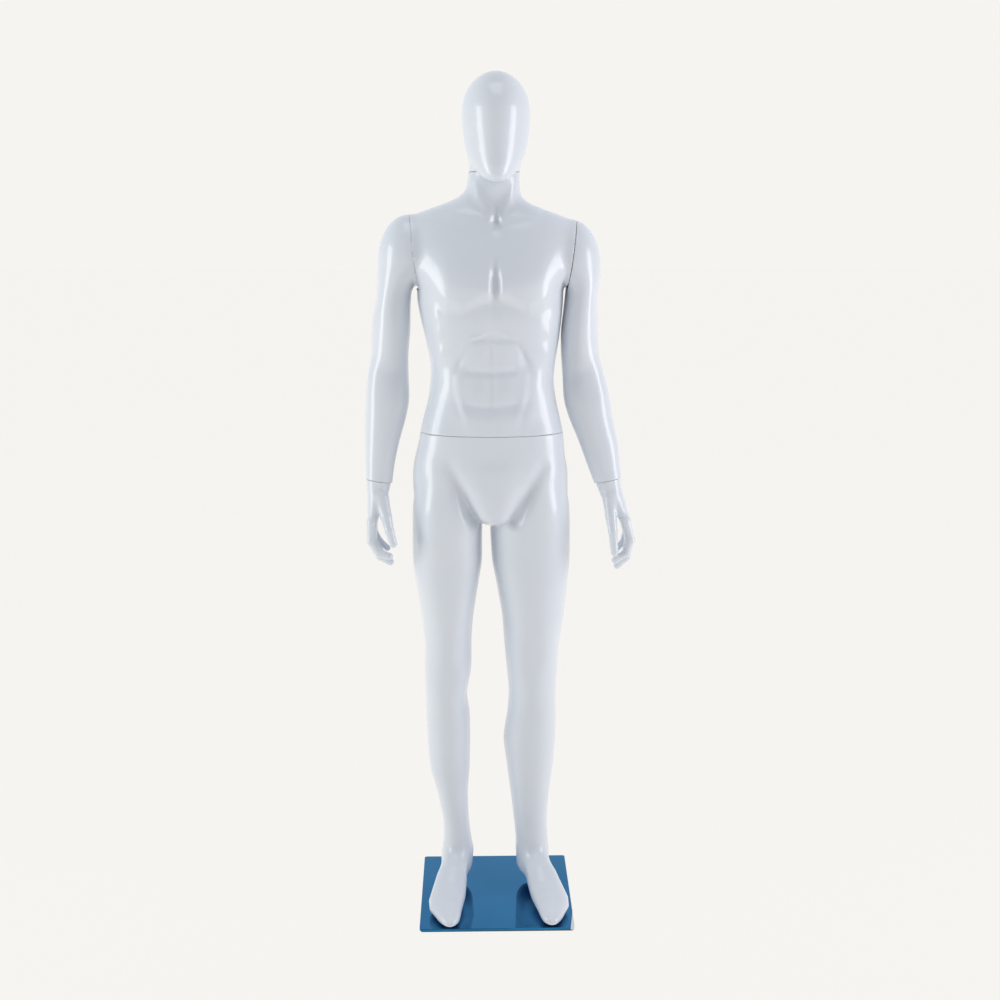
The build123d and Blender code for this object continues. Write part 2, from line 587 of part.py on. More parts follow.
# ---- head ----
with BuildPart() as head_shell:
    body_loft(HEAD)
    body_loft(NECK_STUB)
    body_loft(HEAD[3:-2], inset=WALL, mode=Mode.SUBTRACT)
    body_loft(NECK_STUB, inset=WALL, mode=Mode.SUBTRACT)
    rod(NECK, NECK_CLEARANCE_RADIUS, -SPAN / 2, SEAM_GAP / 2, mode=Mode.SUBTRACT)
save(head_shell, "head_shell")

head_underside = Plane(origin=(NECK_X, NECK_Y, NECK_SEAM_Z + HEAD_SOCKET_FLOOR), z_dir=(0, 0, -1))
with BuildPart() as head_board:
    board(NECK_STUB, NECK, HEAD_SOCKET_FLOOR + FLANGE, HEAD_SOCKET_FLOOR + FLANGE + BOARD)
    square_bar(NECK, NECK_SLEEVE, 0, SPAN / 2, mode=Mode.SUBTRACT)
    screws(head_underside, NECK_SCREW_CIRCLE, mode=Mode.SUBTRACT)
save(head_board, "head_board")

with BuildPart() as head_socket:
    rod(NECK, NECK_FLANGE_RADIUS, HEAD_SOCKET_FLOOR, HEAD_SOCKET_FLOOR + FLANGE)
    square_bar(NECK, NECK_SLEEVE, HEAD_SOCKET_FLOOR + FLANGE, NECK_SQUARE_LENGTH)
    square_bar(NECK, NECK_SQUARE + 2 * RUNNING_CLEARANCE, 0, SPAN / 2, mode=Mode.SUBTRACT)
    screws(head_underside, NECK_SCREW_CIRCLE, mode=Mode.SUBTRACT)
save(head_socket, "head_socket")

with BuildPart() as head_socket_screws:
    screws(head_underside, NECK_SCREW_CIRCLE)
save(head_socket_screws, "head_socket_screws")

# ---- shoulders, arms and hands: the same pieces on both sides ----
for side in ("right", "left"):
    seam = shoulder_plane(side)
    arm_gap = SHOULDER_SEAMS[side][2]
    flipped = Plane(origin=seam.offset(STUD_FLANGE_FACE).origin, x_dir=seam.x_dir, z_dir=-seam.z_dir)
    wrist = wrist_plane(side)

    with BuildPart() as shoulder_board:
        board(TORSO, seam, SOCKET_INNER_FACE - BOARD, SOCKET_INNER_FACE, lowest=-ARMPIT_DROP)
        rod(seam, BAR_ROOM_RADIUS, -SPAN / 2, 0, mode=Mode.SUBTRACT)
        screws(seam.offset(SOCKET_OUTER_FACE), SOCKET_SCREW_CIRCLE, mode=Mode.SUBTRACT)
    save(shoulder_board, f"{side}_shoulder_board")

    with BuildPart() as shoulder_socket:
        rod(seam, SOCKET_RADIUS, SOCKET_INNER_FACE, SOCKET_OUTER_FACE)
        rod(seam, STUD_RADIUS + RUNNING_CLEARANCE, -SPAN / 2, 0, mode=Mode.SUBTRACT)
        block(seam.offset(SOCKET_INNER_FACE), (KEYHOLE_WIDTH, KEYHOLE_LENGTH, FLANGE), align_z=Align.MIN,
              mode=Mode.SUBTRACT)
        screws(seam.offset(SOCKET_OUTER_FACE), SOCKET_SCREW_CIRCLE, mode=Mode.SUBTRACT)
    save(shoulder_socket, f"{side}_shoulder_socket")

    with BuildPart() as shoulder_screws:
        screws(seam.offset(SOCKET_OUTER_FACE), SOCKET_SCREW_CIRCLE)
    save(shoulder_screws, f"{side}_shoulder_screws")

    with BuildPart() as arm_shell:
        body_loft(ARMS[side])
        body_loft(ARMS[side][1:], inset=WALL, mode=Mode.SUBTRACT)
        block(seam.offset(arm_gap), (SPAN, 3 * SPAN, SPAN), align_z=Align.MAX, mode=Mode.SUBTRACT)
        block(wrist.offset(-SEAM_GAP / 2), (SPAN, SPAN, SPAN), align_z=Align.MIN, mode=Mode.SUBTRACT)
    save(arm_shell, f"{side}_arm_shell")

    with BuildPart() as arm_board:
        board(ARMS[side][1:], seam, STUD_FLANGE_FACE + FLANGE, STUD_FLANGE_FACE + FLANGE + BOARD,
              lowest=-ARMPIT_DROP)
        screws(flipped, STUD_SCREW_CIRCLE, mode=Mode.SUBTRACT)
    save(arm_board, f"{side}_arm_board")

    bar_face = SOCKET_INNER_FACE - REST_GAP
    with BuildPart() as arm_stud:
        rod(seam, STUD_FLANGE_RADIUS, STUD_FLANGE_FACE, STUD_FLANGE_FACE + FLANGE)
        rod(seam, STUD_RADIUS, bar_face - BAR_THICKNESS, STUD_FLANGE_FACE)
        block(seam.offset(bar_face), (BAR_LENGTH, BAR_WIDTH, BAR_THICKNESS), align_z=Align.MAX)
        screws(flipped, STUD_SCREW_CIRCLE, mode=Mode.SUBTRACT)
    save(arm_stud, f"{side}_arm_stud")

    with BuildPart() as arm_stud_screws:
        screws(flipped, STUD_SCREW_CIRCLE)
    save(arm_stud_screws, f"{side}_arm_stud_screws")

    plug_end = -SEAM_GAP / 2 - WRIST_FLANGE
    with BuildPart() as wrist_plug:
        board(ARMS[side][1:], wrist, plug_end - WRIST_PLUG_LENGTH, plug_end)
        rod(wrist, WRIST_BUSH_RADIUS, -PEG_LENGTH - FLANGE, 0, mode=Mode.SUBTRACT)
    save(wrist_plug, f"{side}_wrist_plug")

    with BuildPart() as wrist_bush:
        rod(wrist, WRIST_FLANGE_RADIUS, plug_end, -SEAM_GAP / 2)
        rod(wrist, WRIST_BUSH_RADIUS, -PEG_LENGTH - FLANGE, plug_end)
        rod(wrist, PEG_RADIUS + RUNNING_CLEARANCE, -PEG_LENGTH - FLANGE, 0, mode=Mode.SUBTRACT)
    save(wrist_bush, f"{side}_wrist_bush")

    with BuildPart() as hand_peg:
        rod(wrist, PEG_RADIUS, -PEG_LENGTH, PEG_LENGTH)
        chamfer(hand_peg.edges().filter_by(GeomType.CIRCLE), PEG_CHAMFER)
    save(hand_peg, f"{side}_hand_peg")

    with BuildPart() as hand:
        body_loft(PALMS[side])
        for chain in FINGERS[side].values():
            for x, y, z, radius in chain:
                with Locations((x, y, z)):
                    Sphere(radius)
            for near, far in zip(chain, chain[1:]):
                bone = Vector(*far[:3]) - Vector(*near[:3])
                with Locations(Plane(origin=near[:3], z_dir=bone)):
                    Cone(near[3] * HAND_BLEND, far[3] * HAND_BLEND, bone.length,
                         align=(Align.CENTER, Align.CENTER, Align.MIN))
        block(wrist.offset(SEAM_GAP / 2), (SPAN, SPAN, SPAN), align_z=Align.MAX, mode=Mode.SUBTRACT)
        rod(wrist, PEG_RADIUS, 0, PEG_LENGTH, mode=Mode.SUBTRACT)
    save(hand, f"{side}_hand")
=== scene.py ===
import math

import bmesh
import bpy
import numpy as np
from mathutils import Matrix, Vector


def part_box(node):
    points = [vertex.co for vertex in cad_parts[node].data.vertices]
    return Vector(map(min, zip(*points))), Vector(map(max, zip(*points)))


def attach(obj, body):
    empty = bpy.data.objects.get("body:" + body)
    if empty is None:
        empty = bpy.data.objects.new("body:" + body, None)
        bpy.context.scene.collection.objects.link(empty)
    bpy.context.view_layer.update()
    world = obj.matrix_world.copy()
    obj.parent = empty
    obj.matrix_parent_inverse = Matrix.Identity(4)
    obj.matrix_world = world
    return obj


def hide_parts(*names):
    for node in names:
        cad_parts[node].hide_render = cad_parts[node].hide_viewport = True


# A full body display mannequin in glossy white plastic on a square steel base with blue film.
# The sculpted shells are worked out in millimetres, in the frame's axes, and made in metres.

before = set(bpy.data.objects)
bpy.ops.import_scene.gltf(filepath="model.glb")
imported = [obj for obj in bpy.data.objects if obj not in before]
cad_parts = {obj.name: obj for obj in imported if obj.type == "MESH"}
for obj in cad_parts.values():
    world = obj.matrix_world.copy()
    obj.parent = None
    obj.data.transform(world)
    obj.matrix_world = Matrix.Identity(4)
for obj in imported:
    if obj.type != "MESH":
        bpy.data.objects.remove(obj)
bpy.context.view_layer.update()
MM = 0.001

# ---- sizes shared with the part, in millimetres ----
WALL = 3.5
NECK_SEAM_Z = 1671.0
WAIST_SEAM_Z = 1110.0
SEAM_HALF = 0.4
SHOULDER_SEAMS = {"right": (-177.0, 6.0, 0.4), "left": (168.0, 8.0, 1.4)}   # x at the stud, tilt, arm's gap
STUD_Z = 1512.0
ARMPIT_Z = 1430.0
WRISTS = {
    "right": ((-256.5, 12.0, 1000.0), (-0.14, -0.09, -1.0)),
    "left": ((250.5, 12.0, 1000.0), (0.22, -0.09, -1.0)),
}
NECK_AXIS = (-2.0, 43.0)
NECK_CLEARANCE = 62.0
SHOULDER_FILLET = 18.0

# ---- stations of each form: z, x, y, half width, half depth, squareness ----
TRUNK = [
    (985, -11, 40, 172, 80, 2.3),
    (1015, -12, 40, 172, 87, 2.35),
    (1050, -12, 38, 166, 92, 2.4),
    (1085, -9, 37, 162, 95, 2.4),
    (1110, -8, 36, 159, 95, 2.4),
    (1140, -8, 36, 152, 91, 2.4),
    (1180, -7, 38, 142, 89, 2.4),
    (1220, -7, 39, 136, 88, 2.4),
    (1260, -5, 40, 137, 91, 2.35),
    (1310, -6, 41, 146, 97, 2.3),
    (1360, -9, 40, 155, 103, 2.3),
    (1400, -11, 39, 160, 106, 2.25),
    (1430, -11, 39, 160, 107, 2.25),
    (1470, -8, 41, 186, 104, 2.25),
    (1510, -6, 44, 200, 98, 2.2),
    (1540, -8, 46, 200, 89, 2.2),
    (1565, -14, 47, 190, 80, 2.1),
    (1583, -20, 47, 158, 68, 2.1),
    (1600, -20, 46, 104, 60, 2.1),
    (1617, -11, 45, 67, 57, 2.1),
    (1635, -4, 44, 58, 57, 2.0),
    (1655, -3, 43, 56, 56, 2.0),
    (1680, -2, 43, 55, 56, 2.0),
]
GROIN = [
    (896, -2, 28, 36, 64, 2.1),
    (920, -2, 29, 53, 84, 2.1),
    (945, -2, 30, 67, 94, 2.1),
    (985, -3, 30, 90, 98, 2.1),
    (1035, -4, 32, 124, 97, 2.2),
    (1075, -6, 35, 142, 92, 2.3),
    (1110, -8, 36, 150, 80, 2.3),
]
LEGS = {
    "right": [
        (60, -92, 47, 32, 42, 2.0),
        (85, -91, 46, 34, 45, 2.0),
        (120, -90, 48, 33, 43, 2.0),
        (170, -94, 51, 30, 41, 2.0),
        (240, -102, 54, 36, 47, 2.0),
        (300, -108, 56, 47, 56, 2.0),
        (375, -110, 56, 50, 63, 2.0),
        (440, -111, 48, 51, 59, 2.0),
        (495, -115, 40, 47, 60, 2.0),
        (550, -111, 41, 53, 62, 2.0),
        (610, -110, 43, 52, 67, 2.0),
        (680, -110, 42, 59, 74, 2.0),
        (750, -110, 40, 70, 79, 2.05),
        (810, -109, 41, 79, 84, 2.1),
        (880, -109, 43, 79, 91, 2.1),
        (940, -107, 46, 80, 96, 2.1),
        (1000, -104, 46, 74, 92, 2.1),
    ],
    "left": [
        (60, 88, 47, 33, 42, 2.0),
        (85, 88, 46, 34, 45, 2.0),
        (120, 87, 48, 38, 43, 2.0),
        (170, 83, 51, 39, 41, 2.0),
        (240, 82, 54, 46, 47, 2.0),
        (300, 82, 56, 54, 56, 2.0),
        (375, 80, 56, 62, 63, 2.0),
        (440, 85, 48, 57, 59, 2.0),
        (495, 86, 40, 54, 60, 2.0),
        (550, 85, 41, 58, 62, 2.0),
        (610, 84, 43, 63, 67, 2.0),
        (680, 87, 42, 71, 74, 2.0),
        (750, 84, 40, 80, 79, 2.05),
        (810, 81, 41, 89, 84, 2.1),
        (880, 79, 43, 91, 91, 2.1),
        (940, 79, 46, 89, 96, 2.1),
        (1000, 77, 46, 80, 92, 2.1),
    ],
}
ARMS = {
    "right": [
        (985, -260, 11, 28.5, 27, 2.0),
        (1030, -258, 16, 31.5, 30, 2.0),
        (1080, -253, 24, 37, 36, 2.0),
        (1130, -246, 32, 44, 42, 2.0),
        (1180, -238.5, 39, 47, 46, 2.0),
        (1230, -237.5, 44, 45, 45, 2.0),
        (1280, -233, 46, 40.5, 46, 2.0),
        (1330, -230, 46, 43, 50, 2.0),
        (1380, -227, 45, 41, 56, 2.0),
        (1425, -221, 44, 38, 62, 2.0),
        (1455, -207, 43, 50, 68, 2.1),
        (1485, -187, 42, 68, 70, 2.1),
    ],
    "left": [
        (985, 255, 11, 30, 28, 2.0),
        (1030, 243, 16, 36, 30, 2.0),
        (1080, 232, 24, 43, 36, 2.0),
        (1130, 216, 32, 47.5, 42, 2.0),
        (1180, 204, 39, 51, 46, 2.0),
        (1230, 196, 44, 46, 45, 2.0),
        (1280, 188, 46, 42, 46, 2.0),
        (1330, 186, 46, 41, 50, 2.0),
        (1380, 189, 45, 38, 56, 2.0),
        (1425, 193, 44, 37, 62, 2.0),
        (1450, 184, 43, 47, 67, 2.1),
        (1475, 165, 42, 65, 70, 2.1),
    ],
}
ARM_TOPS = {"right": (1485.0, 1582.0), "left": (1475.0, 1571.0)}
HEAD = [
    (1652, 2, -36, 69, 93, 2.0),
    (1662, 2, -14, 69, 93, 2.0),
    (1680, 2, 4, 69, 93, 2.0),
    (1705, 2, 23, 69, 93, 2.0),
    (1740, 2, 36, 69, 93, 2.0),
    (1770, 2, 39, 72.5, 95, 2.0),
    (1800, 2, 40, 73, 94, 2.0),
    (1880, 2, 41, 73, 92, 2.0),
]
NECK_STUB = [
    (1650, -2, 43, 55, 56, 2.0),
    (1690, 0, 43, 55, 57, 2.0),
    (1720, 1, 46, 54, 60, 2.0),
]
FOOT = [                    # forward, half width, sole, top, shift towards the big toe
    (40, 27, 33, 98, 0),
    (70, 27.5, 30, 102, 0),
    (95, 30, 28, 100, 0),
    (135, 36, 19, 88, -1),
    (170, 39.5, 10.5, 67, -3),
    (200, 40, 8.8, 54, -5),
    (222, 37, 9.0, 46, -3),
    (245, 29, 10, 39, 5),
    (262, 23, 11, 34, 10),
    (281, 14, 12, 28, 14),
]
TOES_FROM = 252.0
FOOT_SQUARENESS = 2.3
ANKLE_FILLET = 42.0
HEELS = {"right": ((-87, 98), -7.0), "left": ((77, 98), 13.0)}   # back of the heel, toe-out
PALMS = {
    "right": [
        (900, -277, 5, 8, 36, 2.3),
        (912, -276, 6, 11, 39, 2.3),
        (935, -270, 9, 17, 37, 2.3),
        (960, -264, 11, 23, 32, 2.2),
        (985, -262, 12, 25.5, 27, 2.1),
        (1020, -258, 14, 31, 29, 2.0),
    ],
    "left": [
        (900, 293, 5, 8, 36, 2.3),
        (912, 290, 6, 12, 39, 2.3),
        (935, 277, 9, 19, 37, 2.3),
        (960, 264, 11, 26, 32, 2.2),
        (985, 255, 12, 27, 28, 2.1),
        (1020, 247, 14, 30, 29, 2.0),
    ],
}
FINGERS = {                 # knuckle, two joints and tip: x, y, z, radius
    "right": [
        [(-276, -24, 912, 11), (-277, -27, 872, 10), (-261, -28, 845, 9), (-237, -27, 836, 8)],
        [(-277, -4, 908, 11), (-277, -6, 862, 10), (-260, -7, 832, 9), (-237, -8, 819, 8)],
        [(-277, 16, 910, 10.5), (-276, 15, 866, 9.5), (-260, 14, 835, 8.5), (-240, 13, 814, 7.5)],
        [(-275, 34, 916, 9), (-275, 33, 880, 8), (-262, 31, 857, 7.5), (-245, 29, 842, 7)],
        [(-252, -10, 965, 15), (-243, -26, 926, 12.5), (-235, -36, 896, 10), (-227, -41, 868, 8.5)],
    ],
    "left": [
        [(290, -24, 915, 11), (300, -28, 872, 10), (291, -29, 842, 9), (267, -28, 826, 8)],
        [(293, -4, 908, 11), (301, -7, 864, 10), (295, -8, 828, 9), (274, -8, 808, 8)],
        [(293, 16, 908, 10.5), (301, 14, 866, 9.5), (295, 13, 830, 8.5), (276, 12, 806, 7.5)],
        [(290, 34, 914, 9), (298, 33, 880, 8), (292, 31, 854, 7.5), (277, 29, 838, 7)],
        [(254, -10, 960, 15), (256, -26, 926, 12.5), (260, -37, 892, 10), (264, -41, 846, 8.5)],
    ],
}


# ---- fields: negative inside a form, about a distance in millimetres near its surface ----
def smooth_min(a, b, width):
    """The union of two fields, with a fillet about as wide as width."""
    overlap = np.maximum(width - np.abs(a - b), 0) / width
    return np.minimum(a, b) - overlap**3 * width / 6


def smooth_max(a, b, width):
    return -smooth_min(-a, -b, width)


def fade(value, low, high):
    """0 at low and 1 at high, with a smooth curve between."""
    t = np.clip((value - low) / (high - low), 0, 1)
    return t * t * (3 - 2 * t)


class Form:
    """A form through stations along z. bottom and top give where a rounded end starts and ends."""

    STEP = 1.0

    def __init__(self, stations, bottom=None, top=None, roundness=2.3, soften=9.0):
        table = np.array(sorted(stations), float)
        reach = 6 * soften
        self.z = np.arange(table[0, 0] - reach, table[-1, 0] + reach, self.STEP)
        half = int(3 * soften / self.STEP)
        kernel = np.exp(-0.5 * (np.arange(-half, half + 1) * self.STEP / soften) ** 2)
        kernel /= kernel.sum()
        self.columns = []
        for column in range(1, 6):
            values = np.interp(self.z, table[:, 0], table[:, column])
            padded = np.pad(values, half, mode="edge")
            self.columns.append(np.convolve(padded, kernel, mode="valid"))
        self.bottom = bottom
        self.top = top
        self.roundness = roundness

    def __call__(self, p):
        x, y, half_width, half_depth, squareness = (np.interp(p[:, 2], self.z, c) for c in self.columns)
        u = np.abs(p[:, 0] - x) / half_width
        v = np.abs(p[:, 1] - y) / half_depth
        across = (u**squareness + v**squareness) ** (1 / squareness)
        along = np.zeros(len(p))
        past = np.zeros(len(p))
        for end in (self.bottom, self.top):
            if end is not None:
                start, tip = end
                beyond = np.maximum((p[:, 2] - start) * np.sign(tip - start), 0)
                past += beyond
                along += beyond / abs(tip - start)
        rho = (across**self.roundness + along**self.roundness) ** (1 / self.roundness)
        rho = np.maximum(rho, 0.02)
        radius = np.sqrt((p[:, 0] - x) ** 2 + (p[:, 1] - y) ** 2 + past**2)
        radius = np.maximum(radius, 0.3 * np.minimum(half_width, half_depth))
        return radius * (1 - 1 / rho)


class Chain:
    """A finger: round cones from joint to joint."""

    def __init__(self, joints):
        self.joints = np.array(joints, float)

    def __call__(self, p):
        best = None
        for start, end in zip(self.joints[:-1], self.joints[1:]):
            axis = end[:3] - start[:3]
            t = np.clip(((p - start[:3]) @ axis) / (axis @ axis), 0, 1)
            gap = np.linalg.norm(p - start[:3] - t[:, None] * axis, axis=1)
            cone = gap - (start[3] + t * (end[3] - start[3]))
            best = cone if best is None else smooth_min(best, cone, 5.0)
        return best


class Foot:
    """A shoe-shaped foot along its own forward direction, with a flat sole."""

    TOE_TIP = 281.0

    def __init__(self, heel, toe_out, inward):
        turn = math.radians(toe_out)
        self.heel = np.array(heel, float)
        self.forward = np.array([math.sin(turn), -math.cos(turn)])
        self.side = np.array([math.cos(turn), math.sin(turn)])
        self.inward = inward
        self.table = np.array(FOOT, float)

    def __call__(self, p):
        offset = p[:, :2] - self.heel
        ahead = offset @ self.forward
        across = offset @ self.side
        first, last = self.table[0, 0], TOES_FROM
        columns = self.table[:, 1:].T
        half_width, sole, top, shift = (np.interp(ahead, self.table[:, 0], column) for column in columns)
        across = across - shift * self.inward
        middle = (sole + top) / 2
        half_height = (top - sole) / 2 + 1.5
        u = np.abs(across) / half_width
        v = np.abs(p[:, 2] - middle) / half_height
        around = (u**FOOT_SQUARENESS + v**FOOT_SQUARENESS) ** (1 / FOOT_SQUARENESS)
        past_heel = np.maximum(first - ahead, 0)
        past_toe = np.maximum(ahead - last, 0)
        along = past_heel / first + past_toe / (self.TOE_TIP - last)
        rho = np.maximum((around**2.3 + along**2.3) ** (1 / 2.3), 0.02)
        radius = np.sqrt(across**2 + (p[:, 2] - middle) ** 2 + past_heel**2 + past_toe**2)
        radius = np.maximum(radius, 10)
        rising = sole + np.maximum(ahead - last, 0) ** 2 * 0.004 + np.maximum(first - ahead, 0) * 0.12
        return smooth_max(radius * (1 - 1 / rho), rising - p[:, 2], 5.0)


# ---- relief: heights in millimetres added to a form's surface ----
def bump(p, centre, spread, height):
    """A soft swelling. centre and spread give x and z, or x, y and z."""
    columns = (0, 2) if len(centre) == 2 else (0, 1, 2)
    total = np.zeros(len(p))
    for column, middle, width in zip(columns, centre, spread):
        total += ((p[:, column] - middle) / width) ** 2
    return height * np.exp(-0.5 * total)


def ridge(p, points, width, height):
    """A swelling (or, below 0, a groove) along a line of x, z points, fading at its ends."""
    nearest = np.full(len(p), 1e9)
    points = np.array(points, float)
    for start, end in zip(points[:-1], points[1:]):
        axis = end - start
        place = p[:, (0, 2)] - start
        t = np.clip((place @ axis) / (axis @ axis), 0, 1)
        nearest = np.minimum(nearest, np.linalg.norm(place - t[:, None] * axis, axis=1))
    return height * np.exp(-0.5 * (nearest / width) ** 2)


def chest(p):
    """Breast plates with a crisp lower edge, a soft top and a groove between them."""
    x, z = p[:, 0] + 1, p[:, 2]
    side = np.abs(x)
    lower_edge = np.interp(side, [0, 30, 72, 105, 135, 165], [1410, 1403, 1383, 1390, 1414, 1450])
    softness = np.interp(side, [0, 60, 110, 150], [12, 14, 22, 30])
    plate = fade(z, lower_edge - softness, lower_edge + softness + 4) * (1 - fade(z, 1440, 1560))
    low_groove = 1 - fade(z, 1420, 1530)
    groove = 1 - low_groove * (1 - fade(side, 0, 17))
    outer = 1 - fade(side, 98, 176)
    dome = np.exp(-0.5 * (((side - 74) / 46) ** 2 + ((z - 1438) / 44) ** 2))
    return (11 * plate + 6 * dome) * groove * outer


def belly(p):
    """The middle of the belly: a raised plate of domed cells under the arch of the ribs."""
    x, z = p[:, 0] + 9, p[:, 2]
    side = np.abs(x)
    arch = 1 - fade(z, 1306, 1338)
    half = np.interp(z, [1110, 1150, 1200, 1245, 1262, 1300, 1330], [54, 60, 76, 78, 66, 62, 46])
    plate = (1 - fade(side, half - 10, half + 10)) * arch * fade(z, 1105, 1160)
    height = 4.0 * plate
    for middle, tall, rise in ((1288, 27, 4.5), (1209, 25, 4.5), (1140, 24, 3.5)):
        height += rise * np.exp(-0.5 * (((side - 29) / 18) ** 2 + ((z - middle) / tall) ** 2))
    height += ridge(p, [(-8, 1392), (-11, 1330), (-11, 1165)], 9, -1.8)
    for row in (1248, 1172):
        height += ridge(p, [(-58, row + 4), (-11, row), (38, row + 4)], 6, -3.0)
    return height


def front_relief(p):
    """The front of the torso and hips."""
    x, z = p[:, 0], p[:, 2]
    side = np.abs(x + 4)
    height = chest(p) + belly(p)
    arch_half = np.interp(z, [1236, 1268, 1290, 1318, 1334], [88, 78, 66, 50, 4])
    outside_arch = fade(side, arch_half - 7, arch_half + 10)
    outside_arch = np.maximum(outside_arch, fade(z, 1318, 1342))
    ribs = fade(z, 1225, 1290) * (1 - fade(z, 1350, 1410))
    height += 6.5 * ribs * outside_arch * (1 - fade(side, 96, 150))
    for sign in (-1, 1):
        height += bump(p, (-4 + sign * 88, 1226), (18, 22), 5.0)
        height += bump(p, (-4 + sign * 68, 1152), (16, 20), 4.5)
        for step in range(3):
            height += bump(p, (-4 + sign * (126 - 4 * step), 1374 - 41 * step), (9, 14), 3.2)
    height += ridge(p, [(17, 1573), (48, 1580), (84, 1583)], 7, 3.0)
    height += ridge(p, [(-17, 1573), (-50, 1582), (-88, 1587)], 7, 2.2)
    height += ridge(p, [(26, 1562), (64, 1566), (104, 1573)], 6, -1.8)
    height += ridge(p, [(-50, 1652), (-34, 1620), (-10, 1582)], 8, 4.5)
    height += ridge(p, [(48, 1652), (33, 1620), (12, 1582)], 8, 4.5)
    height += bump(p, (2, 1566), (9, 14), -10.0)
    height += bump(p, (-4, 1085), (46, 62), 3.0)
    return height


def groin_creases(p):
    """How far the folds between the belly and the thighs sink in."""
    depth = np.zeros(len(p))
    for line in (
        [(-100, 1046), (-76, 985), (-58, 938), (-46, 915)],
        [(101, 1040), (75, 990), (56, 946), (44, 918)],
    ):
        depth += ridge(p, line, 10, 1.0)
    deeper = np.interp(p[:, 2], [905, 930, 985, 1045], [9, 11, 7, 3])
    return depth * deeper * fade(30 - p[:, 1], 0, 45)


def back_relief(p):
    """The back of the torso and hips."""
    x, z = p[:, 0] + 8, p[:, 2]
    groove = fade(z, 1132, 1215) * (1 - fade(z, 1520, 1600))
    width = np.interp(z, [1100, 1200, 1450], [16, 13, 10])
    height = -9.0 * groove * np.exp(-0.5 * (x / width) ** 2)
    side = np.abs(x)
    height += 4.0 * fade(z, 1120, 1180) * (1 - fade(z, 1260, 1360)) * np.exp(-0.5 * ((side - 38) / 20) ** 2)
    blade = np.exp(-0.5 * (((side - 84 + (z - 1480) * 0.18) / 34) ** 2 + ((z - 1468) / 48) ** 2))
    height += 8.0 * blade
    height += 4.0 * np.exp(-0.5 * (((side - 96) / 30) ** 2 + ((z - 1350) / 40) ** 2))
    height += 5.0 * np.exp(-0.5 * (((side - 45) / 30) ** 2 + ((z - 1580) / 24) ** 2))
    return height


def leg_relief(p):
    """Knees, shins and the muscles beside them."""
    height = np.zeros(len(p))
    for centre, inward in ((-80, 1), (87, -1)):
        height += bump(p, (centre + 2 * inward, 0, 533), (17, 30, 21), 5.0)
        height += bump(p, (centre + 2 * inward, -10, 492), (12, 22, 16), 2.0)
        height += bump(p, (centre + 30 * inward, 10, 590), (16, 26, 32), 5.0)
        height += bump(p, (centre - 30 * inward, 0, 620), (17, 26, 42), 3.5)
        height += bump(p, (centre + 5 * inward, -30, 700), (26, 24, 70), 3.0)
        height += bump(p, (centre + 10 * inward, 105, 385), (20, 24, 48), 6.0)
        height += bump(p, (centre - 26 * inward, 105, 400), (18, 24, 44), 4.0)
        height += bump(p, (centre + 2 * inward, 92, 505), (13, 18, 34), -5.0)
        height += bump(p, (centre - 4 * inward, 84, 130), (12, 14, 46), 3.0)
        height += bump(p, (centre - 34 * inward, 46, 92), (7, 12, 12), 4.5)
        height += bump(p, (centre + 32 * inward, 40, 99), (7, 12, 13), 4.5)
    return height


def arm_relief(p, side):
    """Biceps, triceps, elbow and forearm."""
    out = -1 if side == "right" else 1
    middle = -229 if side == "right" else 187
    elbow = -236 if side == "right" else 197
    height = bump(p, (middle - 4 * out, -4, 1338), (20, 20, 42), 5.0)
    height += bump(p, (middle + 2 * out, 100, 1372), (22, 22, 48), 4.0)
    height += bump(p, (middle + 36 * out, 34, 1398), (12, 26, 24), -3.5)
    height += bump(p, (elbow + 36 * out, 22, 1196), (14, 22, 36), 4.0)
    height += bump(p, (elbow - 30 * out, 18, 1178), (14, 22, 34), 3.0)
    height += bump(p, (elbow - 2 * out, 92, 1232), (13, 14, 20), 5.0)
    height += bump(p, (elbow - 4 * out, -6, 1246), (16, 14, 14), -3.0)
    return height


# ---- the body's forms ----
trunk = Form(TRUNK, bottom=(985, 907), roundness=2.2, soften=8)
groin = Form(GROIN, bottom=(925, 897), roundness=2.2, soften=7)
legs = {side: Form(LEGS[side], bottom=(60, 36), top=(1000, 1086), roundness=2.2, soften=12) for side in LEGS}
feet = {side: Foot(*HEELS[side], inward) for side, inward in (("right", 1), ("left", -1))}
arms = {side: Form(ARMS[side], top=ARM_TOPS[side], roundness=2.0, soften=11) for side in ARMS}
head = Form(HEAD, bottom=(1752, 1649), top=(1797, 1880), roundness=1.95, soften=8)
neck_stub = Form(NECK_STUB, bottom=(1655, 1643), top=(1720, 1790), soften=6)


def torso_field(p):
    """The trunk of the body with its relief."""
    value = trunk(p)
    near = np.abs(value) < 40
    q = p[near]
    facing = (q[:, 1] - 38) / 90
    relief = front_relief(q) * fade(-facing, 0.02, 0.62) + back_relief(q) * fade(facing, 0.1, 0.6)
    value[near] -= relief
    return value


def lower_field(p):
    """Hips, legs and feet, level with the torso at the waist."""
    value = torso_field(p)
    crease = np.interp(p[:, 2], [900, 960, 1040, 1100], [7, 12, 34, 46])
    value = smooth_min(value, groin(p), 22.0)
    for side in legs:
        leg = legs[side](p)
        near = np.abs(leg) < 40
        leg[near] -= leg_relief(p[near])
        leg = smooth_min(leg, feet[side](p), ANKLE_FILLET)
        value = smooth_min(value, leg, crease)
    value = value + groin_creases(p)
    above = fade(p[:, 2], 1085, 1104)
    return value * (1 - above) + torso_field(p) * above


